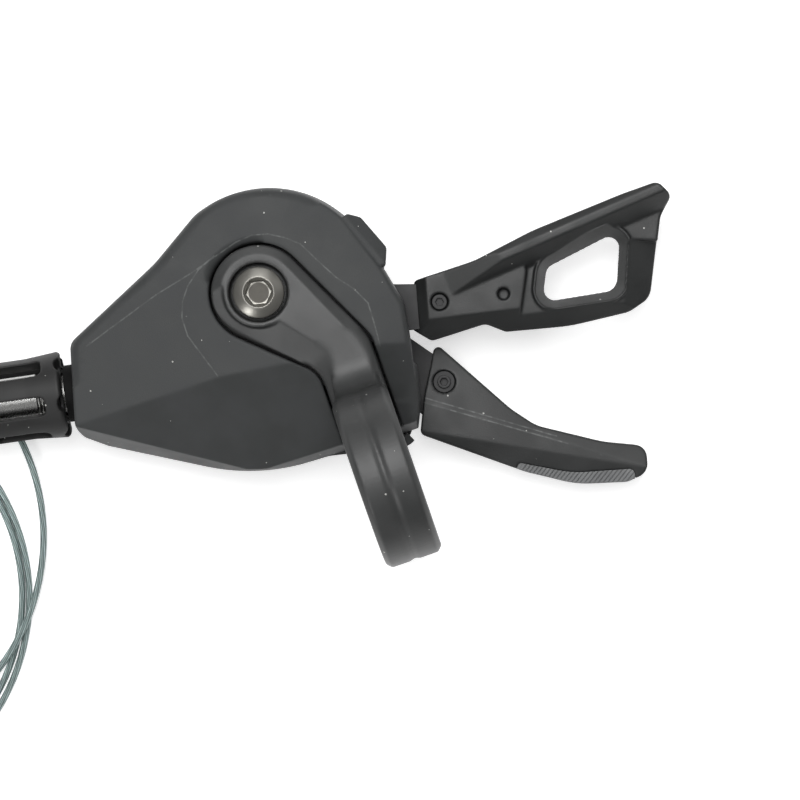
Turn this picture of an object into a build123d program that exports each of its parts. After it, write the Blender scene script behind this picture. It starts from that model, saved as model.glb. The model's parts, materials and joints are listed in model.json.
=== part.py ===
from build123d import *
import math
import os

# Right-hand trigger shifter with a band clamp. Sizes are in millimetres, angles in degrees.
# The pieces are drawn about the winding axis: Z = 0 lies on the cover face, +Z points out of it.
# placed() then brings them to the bar frame, with the origin on the handlebar's axis.

# Handlebar clamp
bar_d = 22.2
band_wall = 4.1
band_width = 10.0
band_edge = 0.9
bar_angle = 19.1
bar_reach = 36.9
bar_offset = 10.6
bar_rise = 6.0
lug_r = 8.2
lug_top = 1.0
upper_arm_h = 4.4
lower_arm_h = 2.7
arm_slit = 0.8
slit_over = 0.3
arm_left_corner = 16.4
arm_right_corner = 13.3
arm_slope = 22.0
slit_angle = 41.0
relief_w = 1.7
relief_depth = 1.4
relief_angle = 15.0
bend_r = 5.0
arm_flat_left = 8.3
arm_flat_right = 14.2

# Clamp bolt
bolt_d = 5.0
bolt_head_d = 8.9
bolt_head_h = 2.7
bolt_length = 13.0
bolt_socket = 4.0
counterbore_d = 10.3
counterbore_depth = 3.0

# Housing
cover_wall = 1.9
cover_depth = 13.0
housing_h = 24.0
cover_draft = 4.0
floor_draft = 7.0
edge_round = 1.8
band_pitch = 5.0
nose_pitch = 3.0
face_pitch = 24.0
side_pitch = 78.0
nose_rise_pitch = 11.0
pocket_gap = 0.4
pocket_wall = 1.2
gate_lip = 4.6
gate_top_angle = 36.0
gate_low_angle = -43.5
tab_h = 4.0
screw_d = 2.4
screw_head_d = 4.4
screw_head_h = 1.6
screw_boss_r = 2.4
screw_bite = 1.6
screw_recess = 3.6
screw_clear = 0.15
slot_l = 2.2
slot_w = 0.5

# Base plate and axle
plate_t = 2.0
axle_r = 4.0
axle_neck_r = 3.4
hub_r = 11.0
nut_af = 10.0
nut_h = 2.4
nut_hole_r = 6.3
spring_room = 2.2

# Winding drum and ratchets
drum_r = 14.2
drum_h = 4.4
groove_r = 12.4
groove_w = 1.6
drum_bush_wall = 0.8
ratchet_t = 1.5
index_tip_r = 13.2
index_root_r = 11.6
drive_tip_r = 12.0
drive_root_r = 10.4
step_angle = 15.0
gears = 12
lever_steps = 3
head_d = 4.0
head_h = 3.6
head_lead = 22.0

# Pawls
pawl_t = 1.4
pawl_pin_r = 1.5
pawl_eye_r = 2.6
pawl_tip_w = 2.0
pawl_tip_gap = 0.35
pawl_slack = 3.2
index_angle = 25.0
drive_angle = -58.0
drive_lift = 10.0
drive_pin_angle = -98.0
drive_pin_radius = 17.6

# Release lever
release_x = 20.5
release_y = -2.5
release_stud_r = 2.2
release_neck_r = 1.65
stud_clip_t = 0.7
sleeve_r = 3.5
sleeve_h = 3.1
release_hub_r = 4.3
release_plate_t = 1.8
release_plate_top = -9.3
release_cover_top = -7.8
release_cover_h = 3.8
rail_h = 3.2
rail_w = 5.4
rail_inner_pitch = 48.0
rail_outer_pitch = 32.0
rail_root_pitch = 12.0
window_lip_h = 0.7
window_lip_w = 2.3
window_taper = 28.0
release_lower_pitch = 40.0
release_root_pitch = 35.0
rivet_r = 1.3
rivet_h = 0.6
rivet_gap = 0.25
blind_r = 1.05
blind_depth = 1.2
plateau_h = 1.0
lever_clear = 0.1

# Main lever
main_plate_t = 1.8
main_cover_top = -13.6
main_cover_h = 6.0
main_hub_r = 9.0
grip_rib_h = 0.3
grip_rib_gap = 0.8
grip_rib_w = 0.35
grip_rib_lean = -38.0
grip_first_x = 44.6
grip_middle_y = -32.2
main_ridge_pitch = 14.0
main_groove_pitch = 12.0
main_screw_sink = 2.6
main_screw_head_r = 1.9
main_screw_head_h = 1.0
main_screw_ring_r = 1.15
lever_socket = 1.3
grip_ribs = 28

# Barrel adjuster
adjuster_angle = 8.2
adjuster_z = -11.6
knob_d = 14.2
knob_end_d = 15.2
knob_length = 19.8
knob_gap = 1.2
knob_windows = 6
window_w = 3.4
window_start = 3.2
window_length = 9.6
window_phase = -14.0
thread_r = 3.5
thread_depth = 10.0
insert_r = 5.0
insert_length = 11.0
casing_seat_d = 5.2
casing_seat_depth = 7.0
click_ring_t = 1.4
spring_wire = 0.5
spring_turns = 3
spring_pitch = 0.65
insert_proud = 0.9

# Shift cable
cable_d = 1.2
coil_x = -78.9
coil_y = -48.3
coil_half_w = 40.6
coil_half_l = 45.2
coil_eye_x = -81.6
coil_eye_y = -52.4
coil_eye_r = 24.9
coil_h = 2.6

# Fits
run_gap = 0.05
side_gap = 0.25
seat_gap = 0.02

# Cutters that have to pass right through
through = 100.0

# Levels that follow from the sizes above
slit_top = lug_top - upper_arm_h
slit_floor = slit_top - arm_slit
plate_top = slit_floor - lower_arm_h
plate_bottom = plate_top - plate_t
drum_top = plate_bottom - side_gap
drum_bottom = drum_top - drum_h
drive_top = drum_bottom - ratchet_t
drive_bottom = drive_top - ratchet_t
main_plate_top = drive_bottom - side_gap
main_plate_bottom = main_plate_top - main_plate_t
floor_bottom = -housing_h
floor_top = floor_bottom + cover_wall
ring_r = bar_d / 2 + band_wall
knob_r = knob_d / 2
cable_r = cable_d / 2

# Plan of the housing at its parting line: each corner with its rounding
HOUSING_PLAN = [
    (-33.5, -8.4, 3.2),
    (-18.6, 5.6, 20.0),
    (-11.6, 14.1, 8.0),
    (1.9, 23.6, 20.0),
    (14.6, 14.0, 4.0),
    (22.3, 4.4, 5.0),
    (25.9, -1.6, 6.0),
    (26.9, -8.0, 20.0),
    (28.2, -18.5, 12.0),
    (27.4, -26.6, 3.4),
    (11.9, -28.4, 8.0),
    (-0.5, -32.2, 36.0),
    (-27.0, -26.6, 4.0),
    (-32.5, -24.6, 3.2),
]

# Creases of the cover face: the face falls away on the right-hand side of each line
FACE_CREASES = [
    ((-31.3, -19.7), (3.0, -12.6), face_pitch),
    ((-4.6, 8.7), (-29.9, -9.1), band_pitch),
    ((4.0, 10.0), (-4.0, 9.9), band_pitch),
    ((17.8, -1.3), (4.4, 9.2), band_pitch),
    ((23.7, -14.2), (20.1, -4.9), band_pitch),
    ((-11.3, 4.1), (-12.9, -2.0), nose_pitch),
    ((-12.9, -2.0), (-6.8, -14.6), nose_pitch),
]

# Lower side walls that lean out to the parting line
SIDE_WALLS = [
    ((-27.0, -26.6), (-0.5, -32.2)),
    ((-0.5, -32.2), (11.9, -28.4)),
]

SCREW_SPOTS = [(-19.5, -3.6), (-17.5, -22.0), (-1.5, -23.0)]

RELEASE_PLAN = [
    (25.9, -0.6, 0.8),
    (27.0, 2.4, 1.0),
    (37.4, 5.8, 14.0),
    (47.4, 11.0, 30.0),
    (63.0, 17.4, 30.0),
    (69.2, 19.6, 1.6),
    (71.8, 17.2, 1.2),
    (70.0, 13.6, 3.0),
    (68.3, -0.6, 3.4),
    (64.6, -3.1, 3.0),
    (54.2, -5.6, 25.0),
    (43.0, -6.6, 1.6),
    (39.4, -5.2, 2.0),
    (30.0, -8.2, 1.2),
    (26.6, -6.2, 0.8),
]

# The release lever's window at its lower face; its walls lean out from there
RELEASE_WINDOW = [
    (49.6, -1.2, 1.7),
    (50.3, 4.6, 1.8),
    (62.9, 11.1, 1.7),
    (62.3, 0.9, 2.2),
]

# Lines where the rail on the release lever's upper edge begins to fall: inward, outward and to the root
RAIL_INNER = ((38.2, 4.0), (70.0, 17.8))
RAIL_OUTER = ((69.8, 19.2), (37.6, 5.2))
RAIL_ROOT = ((40.5, 10.0), (44.0, 1.0))

# Lines where the release lever's face begins to fall, along its lower edge and at its root
RELEASE_LOWER = ((40.0, -4.4), (66.0, -1.2))
RELEASE_ROOT = ((28.8, 4.0), (29.8, -8.0))

MAIN_PLAN = [
    (30.6, -8.3, 0.9),
    (44.0, -20.1, 14.0),
    (48.4, -23.0, 8.0),
    (60.4, -25.9, 20.0),
    (67.9, -26.6, 2.2),
    (68.2, -31.4, 2.6),
    (64.5, -33.0, 3.0),
    (55.6, -33.4, 18.0),
    (46.5, -31.2, 20.0),
    (28.0, -24.6, 1.0),
    (28.7, -17.6, 12.0),
    (29.8, -12.6, 6.0),
]

# Zone of the main lever's edge that the rubber grip takes; it reaches outside the lever's plan
GRIP_ZONE = [
    (45.4, -29.6, 0.6),
    (54.9, -31.4, 20.0),
    (65.8, -30.6, 1.0),
    (66.0, -35.0, 1.2),
    (55.6, -36.0, 18.0),
    (44.0, -33.5, 0.8),
]

TAB_PLAN = [
    (15.2, 13.7, 0.3),
    (17.6, 13.1, 1.0),
    (22.1, 7.9, 0.8),
    (21.9, 4.6, 0.3),
    (18.4, 5.4, 0.3),
    (13.0, 11.6, 0.3),
]

# Steel plates inside the two levers
RELEASE_PLATE_PLAN = [
    (19.5, 1.7, 0.3),
    (30.0, 1.8, 1.0),
    (45.0, 4.6, 1.5),
    (46.6, -3.6, 1.5),
    (30.4, -6.0, 1.0),
    (19.5, -6.7, 0.3),
]

MAIN_PLATE_PLAN = [
    (4.8, -1.5, 0.3),
    (26.0, -7.4, 2.0),
    (33.5, -12.6, 4.0),
    (52.0, -26.2, 1.0),
    (52.0, -29.4, 1.0),
    (30.0, -22.4, 8.0),
    (21.8, -15.9, 4.0),
    (4.0, -2.9, 0.3),
]

# Raised plateau near the root of the release lever
PLATEAU_PLAN = [
    (24.0, 3.4, 1.0),
    (36.8, 3.6, 3.0),
    (46.8, 6.2, 1.6),
    (45.2, -5.4, 1.6),
    (38.2, -4.6, 4.0),
    (24.0, -8.6, 1.0),
]

RELEASE_SCREW = (31.3, -1.4)
RELEASE_HOLE = (42.5, 0.0)
MAIN_SCREW = (32.2, -15.3)

# Lines on the main lever's face where it begins to fall away
MAIN_RIDGE = ((52.3, -25.6), (28.3, -18.6))
MAIN_GROOVE = ((28.1, -23.9), (60.4, -29.2))

# Free cable from the adjuster's mouth down into the coil: distances along, beside and up
CABLE_ROUTE = [
    (0.0, 0.0, 0.0),
    (8.0, 0.0, -0.2),
    (16.5, 0.2, -2.0),
    (25.4, 1.0, -5.2),
    (33.8, 4.0, -8.7),
    (41.3, 9.0, -11.1),
    (47.6, 16.0, -11.8),
    (51.8, 24.1, -11.8),
    (53.9, 32.9, -11.8),
    (53.6, 40.6, -11.8),
]


def polar(radius, angle):
    return (radius * math.cos(math.radians(angle)), radius * math.sin(math.radians(angle)))


def rounded(corners):
    """Face inside a closed outline of (x, y, rounding) corners."""
    points = [(x, y) for x, y, _ in corners]
    return make_face(FilletPolyline(*points, radius=[r for _, _, r in corners], close=True))


def prism(face, low, high):
    return extrude(Pos(0, 0, low) * face, amount=high - low, dir=(0, 0, 1))


def disc(radius, low, high, x=0.0, y=0.0):
    return prism(Pos(x, y) * Circle(radius), low, high)


def tube(outer, inner, low, high, x=0.0, y=0.0):
    return prism(Pos(x, y) * (Circle(outer) - Circle(inner)), low, high)


def falling_cut(start, end, level, pitch, reach=90.0):
    """Block above a plane that holds the level line start-end and falls to its right-hand side."""
    along = (Vector(*end) - Vector(*start)).normalized()
    side = Vector(along.Y, -along.X)
    steep = math.radians(pitch)
    normal = side * math.sin(steep) + Vector(0, 0, 1) * math.cos(steep)
    plane = Plane(origin=(*start, level), x_dir=along, z_dir=normal)
    return plane * Box(4 * reach, 4 * reach, reach, align=(Align.CENTER, Align.CENTER, Align.MIN))


def hexagon(across_flats):
    return RegularPolygon(radius=across_flats / 2, side_count=6, major_radius=False)


def bar_aligned(shape):
    """Turns a clamp piece, drawn with X along the bar, about the winding axis."""
    return Rot(0, 0, bar_angle) * shape


def bar_centre():
    return bar_aligned(Pos(bar_offset, -bar_reach, bar_rise)).position


def placed(shape):
    """Moves a piece to the bar frame: origin on the bar's axis, X along the bar."""
    return Rot(0, 0, -bar_angle) * Pos(*(-bar_centre())) * shape


# Clamp band and bolt
def clamp_plan(gap=0.0):
    """Plan of the clamp's arms, from the bolt lug to below the bar."""
    left = bar_offset - band_width / 2
    right = bar_offset + band_width / 2
    corners = []
    for x, y, turn in ((left, -arm_left_corner, -1), (right, -arm_right_corner, 1)):
        far = math.hypot(x, y)
        swing = math.degrees(math.atan2(y, x)) + turn * math.degrees(math.acos(lug_r / far))
        corners.append((polar(lug_r, swing), (x, y)))
    (touch_l, knee_l), (touch_r, knee_r) = corners
    arm = make_face(Polyline(
        touch_l, knee_l, (left, -bar_reach), (right, -bar_reach), knee_r, touch_r, close=True))
    knees = [v for v in arm.vertices() if Vector(*knee_l).sub(Vector(v.X, v.Y)).length < 0.01
             or Vector(*knee_r).sub(Vector(v.X, v.Y)).length < 0.01]
    plan = fillet(knees, 5.0) + Circle(lug_r)
    return offset(plan, amount=gap) if gap else plan


def bar_ring(outer, inner, width):
    """Ring about the bar's axis, with chamfered outer edges and a shallow middle groove."""
    half = width / 2
    flank = Polyline(
        (inner, -half), (outer - band_edge, -half), (outer, -half + band_edge), (outer, -band_edge),
        (outer - band_edge / 3, 0), (outer, band_edge), (outer, half - band_edge),
        (outer - band_edge, half), (inner, half), close=True)
    ring = revolve(make_face(flank), axis=Axis.Y)
    return Pos(bar_offset, -bar_reach, bar_rise) * Rot(0, 0, -90) * ring


def bar_cylinder(radius, width):
    return Pos(bar_offset, -bar_reach, bar_rise) * Rot(0, 90, 0) * Cylinder(radius, width)


def arm_bend():
    """Hollow round that leads from the arm's top up to the ring."""
    rise = lug_top + bend_r - bar_rise
    out = math.sqrt((ring_r + bend_r) ** 2 - rise**2) - bar_reach
    sunk = ring_r - band_wall / 2.5 - bar_reach
    web = make_face(Polyline((out, lug_top), (sunk, lug_top), (sunk, bar_rise), (out, bar_rise), close=True))
    web -= Pos(out, lug_top + bend_r) * Circle(bend_r)
    return Pos(bar_offset) * extrude(Plane.YZ * web, amount=band_width / 2 - band_edge, both=True)


def make_clamp_band():
    plan = clamp_plan()
    arms = prism(plan, plate_top, lug_top)
    knee = (arm_flat_left, 2.8 - arm_left_corner)
    slope = falling_cut((2.2, -6.2), knee, lug_top, arm_slope)
    arms -= slope & falling_cut(knee, (arm_flat_left, -bar_reach), lug_top, arm_slope)
    knee = (arm_flat_right, -arm_right_corner - 2.5)
    arms -= falling_cut(knee, (lug_r, 2.0), lug_top, arm_slope)
    arms -= falling_cut((arm_flat_right, -bar_reach), knee, lug_top, arm_slope)
    arms += disc(counterbore_d / 2 + 0.9, slit_top, lug_top)
    arms -= bar_cylinder(bar_d / 2 + band_wall / 2, 4 * band_width)
    arms -= Pos(0, -bar_reach - through / 2) * Box(2 * through, through, through)
    band = arms + bar_ring(ring_r, bar_d / 2, band_width) + arm_bend()
    slit_level = (slit_top + slit_floor) / 2
    slit_end = bar_reach - ring_r * math.cos(math.radians(slit_angle))
    slit = Pos(0, -slit_end / 2 + lug_r, slit_level) * Box(through, slit_end + 2 * lug_r, arm_slit)
    across_w = band_wall + slit_over + 1
    across = Pos(0, ring_r + slit_over - across_w / 2) * Box(through, across_w, arm_slit)
    band -= slit
    band -= Pos(bar_offset, -bar_reach, bar_rise) * Rot(-slit_angle, 0, 0) * across
    relief = Pos(0, 0, -ring_r) * Box(4 * band_width, relief_w, 2 * relief_depth)
    band -= Pos(bar_offset, -bar_reach, bar_rise) * Rot(-relief_angle, 0, 0) * relief
    band -= disc(counterbore_d / 2, lug_top - counterbore_depth, lug_top + 1)
    band -= disc(bolt_d / 2 + 0.2, plate_top - 1, lug_top)
    return bar_aligned(band)


def clamp_envelope(gap, floor):
    """Room that the clamp takes in the cover, grown by a gap and cut off at a floor level."""
    arms = prism(clamp_plan(gap), floor, bar_rise)
    room = arms + bar_cylinder(ring_r + gap, band_width + 2 * gap)
    return bar_aligned(room)


def make_clamp_bolt():
    seat = lug_top - counterbore_depth
    r = bolt_head_d / 2
    top = seat + bolt_head_h
    flank = make_face(
        Polyline((0, seat - bolt_length), (bolt_d / 2 - 0.5, seat - bolt_length),
                 (bolt_d / 2, seat - bolt_length + 0.5), (bolt_d / 2, seat), (r, seat),
                 (r, seat + bolt_head_h * 0.2))
        + ThreePointArc((r, seat + bolt_head_h * 0.2), (r * 0.84, seat + bolt_head_h * 0.74),
                        (r * 0.58, top))
        + Polyline((r * 0.58, top), (0, top), (0, seat - bolt_length)))
    bolt = revolve(Plane.XZ * flank, axis=Axis.Z)
    bolt -= prism(hexagon(bolt_socket), top - bolt_head_h * 0.75, top + 1)
    mouth = Pos(0, 0, top) * Cone(bolt_socket * 0.55, bolt_socket * 0.65, 0.6)
    return bolt - mouth


# Housing
def housing_plan(inset=0.0):
    plan = rounded(HOUSING_PLAN)
    return offset(plan, amount=-inset) if inset else plan


def cover_form():
    """Outer form of the upper cover: drafted walls under a creased face."""
    form = prism(housing_plan(), -cover_depth, 0)
    walls = [face for face in form.faces() if abs(face.normal_at().Z) < 0.5]
    form = draft(walls, neutral_plane=Plane(origin=(0, 0, -cover_depth)), angle=cover_draft)
    form = fillet(form.faces().sort_by(Axis.Z)[-1].edges(), edge_round)
    for start, end in SIDE_WALLS:
        form -= falling_cut(start, end, -cover_depth, side_pitch)
    for start, end, pitch in FACE_CREASES:
        form -= falling_cut(start, end, 0, pitch)
    return form


def wall_inset():
    return cover_wall + cover_depth * math.tan(math.radians(cover_draft))


def cover_cavity():
    """Room inside the upper cover, a wall below its face and inside its drafted walls."""
    room = prism(housing_plan(wall_inset()), -cover_depth - 1, -cover_wall)
    lean = cover_wall / math.cos(math.radians(side_pitch))
    for start, end in SIDE_WALLS:
        room -= falling_cut(start, end, -cover_depth - lean, side_pitch)
    for start, end, pitch in FACE_CREASES:
        room -= falling_cut(start, end, -cover_wall, pitch)
    return room


def gate(low, high, top_angle=gate_top_angle, low_angle=gate_low_angle):
    """Wedge of the side opening that the levers swing in."""
    near, far = drum_r, 70.0
    middle = (top_angle + low_angle) / 2
    wedge = Polyline(polar(near, top_angle), polar(far, top_angle), polar(far * 1.2, middle),
                     polar(far, low_angle), polar(near, low_angle), close=True)
    return prism(make_face(wedge), low, high)


def make_upper_cover():
    form = cover_form()
    cavity = cover_cavity()
    cover = form - cavity
    tab_top = -cover_wall / 2
    tab = prism(rounded(TAB_PLAN), tab_top - tab_h, tab_top)
    tab -= falling_cut((21.1, 5.9), (16.6, 11.2), tab_top, face_pitch)
    cover += tab - cavity
    skirt_floor = plate_top + seat_gap
    cover += clamp_envelope(pocket_gap + pocket_wall, skirt_floor) & form
    for x, y in SCREW_SPOTS:
        cover += disc(screw_boss_r, plate_top, -cover_wall, x, y) & form
    cover -= gate(-cover_depth - 1, -gate_lip, top_angle=14.0, low_angle=-24.0)
    cover -= clamp_envelope(pocket_gap, plate_top - 1)
    for x, y in SCREW_SPOTS:
        cover -= disc(screw_d / 2 + seat_gap, plate_top - 1, plate_top + screw_bite + 0.2, x, y)
    return cover - insert_room()


def make_lower_cover():
    top = -cover_depth
    depth = housing_h - cover_depth
    form = extrude(Pos(0, 0, top) * housing_plan(), amount=depth, dir=(0, 0, -1), taper=floor_draft)
    form = fillet(form.faces().sort_by(Axis.Z)[0].edges(), edge_round)
    cavity = extrude(Pos(0, 0, top) * housing_plan(cover_wall), amount=depth - cover_wall,
                     dir=(0, 0, -1), taper=floor_draft)
    rise = falling_cut((-12.0, 20.0), (-12.0, -20.0), housing_h, nose_rise_pitch)
    rise = mirror(rise, about=Plane.XY)
    inner_rise = Pos(0, 0, cover_wall) * rise
    cover = (form - rise) - (cavity - inner_rise)
    cover -= gate(floor_top, top + 1)
    for x, y in SCREW_SPOTS:
        cover += disc(screw_boss_r, floor_bottom + edge_round, plate_bottom, x, y) - rise
    for x, y in SCREW_SPOTS:
        cover -= disc(screw_d / 2 + screw_clear, floor_bottom - 1, plate_top, x, y)
        cover -= disc(screw_head_d / 2 + screw_clear, floor_bottom - 1, screw_seat(), x, y)
    cover -= disc(nut_hole_r, floor_bottom - 1, floor_top + 1)
    return cover - insert_room()


def screw_seat():
    return floor_bottom + screw_head_h + screw_recess


def make_cover_screws():
    low = screw_seat() - screw_head_h
    one = disc(screw_d / 2, screw_seat(), plate_top + screw_bite) + disc(screw_head_d / 2, low, screw_seat())
    one -= prism(cross_slot(), low - 1, low + screw_head_h / 2)
    return Compound([Pos(x, y) * one for x, y in SCREW_SPOTS])


def cross_slot():
    return Rectangle(slot_l, slot_w) + Rectangle(slot_w, slot_l)


def make_base_plate():
    rounds = [Pos(x, y) * Circle(screw_boss_r + 0.9) for x, y in SCREW_SPOTS]
    rounds += [Circle(hub_r), Pos(release_x, release_y) * Circle(release_stud_r + 1.6)]
    outline = make_hull([edge for ring in rounds for edge in ring.edges()])
    plate = prism(outline & housing_plan(wall_inset() + side_gap), plate_bottom, plate_top)
    plate &= Pos(0, 0, -side_gap) * cover_cavity()
    plate -= disc(axle_neck_r + seat_gap, plate_bottom - 1, plate_top + 1)
    plate -= disc(release_neck_r + seat_gap, plate_bottom - 1, plate_top + 1, release_x, release_y)
    for x, y in SCREW_SPOTS:
        plate -= disc(screw_d / 2 + screw_clear, plate_bottom - 1, plate_top + 1, x, y)
    return plate - clamp_envelope(pocket_gap + pocket_wall + side_gap, plate_top)


def axle_foot():
    return main_plate_bottom - side_gap - spring_room


def make_main_axle():
    axle = disc(axle_r, axle_foot(), plate_bottom) + disc(axle_neck_r, plate_bottom, plate_top)
    axle += disc(axle_neck_r, axle_foot() - nut_h, axle_foot())
    return axle - disc(bolt_d / 2 + seat_gap, lug_top - counterbore_depth - bolt_length - 0.6, plate_top + 1)


def make_axle_nut():
    nut = prism(hexagon(nut_af) - Circle(axle_neck_r + seat_gap), axle_foot() - nut_h, axle_foot())
    round_off = Pos(0, 0, axle_foot()) * Cone(nut_af * 0.5, nut_af * 0.8, 2 * nut_h)
    return nut & round_off


# Winding drum, ratchets and pawls
def make_cable_drum():
    middle = (drum_top + drum_bottom) / 2
    flank = Polyline(
        (axle_r + drum_bush_wall + run_gap, drum_bottom), (drum_r, drum_bottom), (drum_r, middle - groove_w),
        (groove_r - cable_r, middle - groove_w / 2), (groove_r - cable_r, middle + groove_w / 2),
        (drum_r, middle + groove_w), (drum_r, drum_top), (axle_r + drum_bush_wall + run_gap, drum_top),
        close=True)
    drum = revolve(Plane.XZ * make_face(flank), axis=Axis.Z)
    drum -= tube(groove_r - 2.4, axle_r + 2.4, drum_top - 2.6, drum_top + 1)
    x, y = head_spot()
    return drum - disc(head_d / 2 + 0.1, drum_top - head_h - 0.1, drum_top + 1, x, y)


def head_spot():
    tangent = adjuster_angle - 90
    return polar(groove_r, tangent + head_lead + math.degrees((head_d / 2 + 0.1) / groove_r))


def make_cable_head():
    x, y = head_spot()
    return disc(head_d / 2, drum_top - head_h, drum_top - 0.1, x, y)


def make_drum_bush():
    return tube(axle_r + drum_bush_wall, axle_r + run_gap, drive_bottom, drum_top)


def make_drum_spring():
    """Flat spiral spring in the drum's upper recess, drawn in half turns of growing radius."""
    low, high = drum_top - 2.4, drum_top - 0.4
    strip, pitch = 0.35, 0.62
    inner = axle_r + 2.6
    spring = None
    for half in range(6):
        r = inner + pitch * (half / 2 + 0.25)
        shift = pitch / 4 * (1 if half % 2 else -1)
        ring = Pos(shift) * (Circle(r + strip / 2) - Circle(r - strip / 2))
        side = Pos(0, through / 2 * (1 if half % 2 else -1)) * Rectangle(through, through)
        arc = prism(ring & side, low, high)
        spring = arc if spring is None else spring + arc
    return spring


def saw_teeth(tip, root, first, count):
    """Ratchet plan: each tooth has a radial face on its clockwise side and a long back."""
    points = []
    for tooth in range(count):
        at = first + tooth * step_angle
        points += [polar(tip, at), polar(root, at + step_angle)]
    rest = 360 - count * step_angle
    closing = ThreePointArc(points[-1], polar(root, first + count * step_angle + rest / 2),
                            polar(root, first))
    return make_face(Polyline(*points) + closing + Line(polar(root, first), points[0]))


def make_index_ratchet():
    count = gears + 1
    plan = saw_teeth(index_tip_r, index_root_r, index_angle - (gears - 1) * step_angle, count)
    return prism(plan - Circle(axle_r + drum_bush_wall + run_gap), drum_bottom - ratchet_t, drum_bottom)


def make_drive_ratchet():
    count = gears + lever_steps + 1
    plan = saw_teeth(drive_tip_r, drive_root_r, drive_angle - (gears - 1) * step_angle, count)
    return prism(plan - Circle(axle_r + drum_bush_wall + run_gap), drive_bottom, drive_top)


def pawl_plan(pivot, tip_r, root_r, tooth_angle):
    """Hooked strut from an eye at its pivot, over the tooth behind, to a tip on a radial tooth face."""
    face_angle = tooth_angle - pawl_slack
    face = Vector(*polar(root_r + pawl_tip_gap, face_angle))
    heel = polar(root_r + pawl_tip_gap + pawl_tip_w, face_angle)
    knee = polar(tip_r + pawl_tip_gap, tooth_angle - step_angle * 0.8)
    reach = (face - Vector(*pivot)).normalized()
    side = Vector(-reach.Y, reach.X) * pawl_eye_r * 0.9
    near = Vector(*pivot) + side
    far = Vector(*pivot) - side
    strut = Polyline((face.X, face.Y), heel, (far.X, far.Y), (near.X, near.Y), knee, close=True)
    return Pos(*pivot) * Circle(pawl_eye_r) + make_face(strut)


def make_holding_pawl():
    pivot = (release_x, release_y)
    plan = pawl_plan(pivot, index_tip_r, index_root_r, index_angle)
    plan -= Pos(*pivot) * Circle(release_stud_r + run_gap)
    middle = drum_bottom - ratchet_t / 2
    return prism(plan, middle - pawl_t / 2, middle + pawl_t / 2)


def drive_pin_spot():
    return polar(drive_pin_radius, drive_pin_angle)


def make_drive_pawl():
    pivot = drive_pin_spot()
    plan = pawl_plan(pivot, drive_tip_r, drive_root_r, drive_angle)
    plan -= Pos(*pivot) * Circle(pawl_pin_r + run_gap)
    middle = (drive_top + drive_bottom) / 2
    lifted = Pos(*pivot) * Rot(0, 0, -drive_lift) * Pos(-pivot[0], -pivot[1])
    return lifted * prism(plan, middle - pawl_t / 2, middle + pawl_t / 2)


def make_drive_pawl_pin():
    x, y = drive_pin_spot()
    return disc(pawl_pin_r, main_plate_bottom, drive_top + 0.4, x, y)


def torsion_spring(x, y, radius, low, turns, wire, leg_angle):
    """Close-wound torsion spring with two straight legs."""
    pitch = wire * 1.12
    coil = Helix(pitch=pitch, height=pitch * turns, radius=radius)
    section = Plane(origin=coil @ 0, z_dir=coil % 0) * Circle(wire / 2)
    spring = sweep(section, path=coil, is_frenet=True)
    return Pos(x, y, low + wire / 2) * Rot(0, 0, leg_angle) * spring


def make_main_lever_spring():
    return torsion_spring(0, 0, axle_r + 1.2, axle_foot() + 0.1, 1.2, 0.8, 40)


def make_holding_pawl_spring():
    low = drum_bottom - (ratchet_t - pawl_t) / 2 + 0.1
    return torsion_spring(release_x, release_y, release_stud_r + 0.5, low, 1.5, 0.35, 200)


def make_drive_pawl_spring():
    x, y = drive_pin_spot()
    return torsion_spring(x, y, pawl_pin_r + 0.45, drive_top + 0.05, 1.2, 0.4, 30)


# Release lever
def make_release_stud():
    foot = drum_bottom - (ratchet_t + pawl_t) / 2 - side_gap
    stud = disc(release_stud_r, foot, plate_bottom, release_x, release_y)
    stud += disc(release_neck_r, plate_bottom, plate_top, release_x, release_y)
    return stud + disc(release_stud_r + 1.0, foot - stud_clip_t, foot, release_x, release_y)


def make_release_lever_plate():
    hub = Pos(release_x, release_y) * Circle(release_hub_r)
    plan = hub + rounded(RELEASE_PLATE_PLAN) - Pos(release_x, release_y) * Circle(release_stud_r + run_gap)
    plate = prism(plan, release_plate_top - release_plate_t, release_plate_top)
    plate += tube(sleeve_r, release_stud_r + run_gap, release_plate_top - sleeve_h, release_plate_top,
                  release_x, release_y)
    x, y = RELEASE_SCREW
    return plate - disc(screw_d / 2 + seat_gap, release_plate_top - 5, release_plate_top + 1, x, y)


def release_rail(plan, low, top):
    """Raised upper edge of the release lever, with a steep inner flank."""
    (x, y), (end_x, end_y) = RAIL_OUTER
    along = math.degrees(math.atan2(y - end_y, x - end_x))
    band = Pos((x + end_x) / 2, (y + end_y) / 2) * Rot(0, 0, along) * Rectangle(through, 2 * rail_w)
    rail = prism(plan & band, low, top)
    rail -= falling_cut(*RAIL_INNER, top, rail_inner_pitch)
    rail -= falling_cut(*RAIL_OUTER, top, rail_outer_pitch)
    return rail - falling_cut(*RAIL_ROOT, top, rail_root_pitch)


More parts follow.
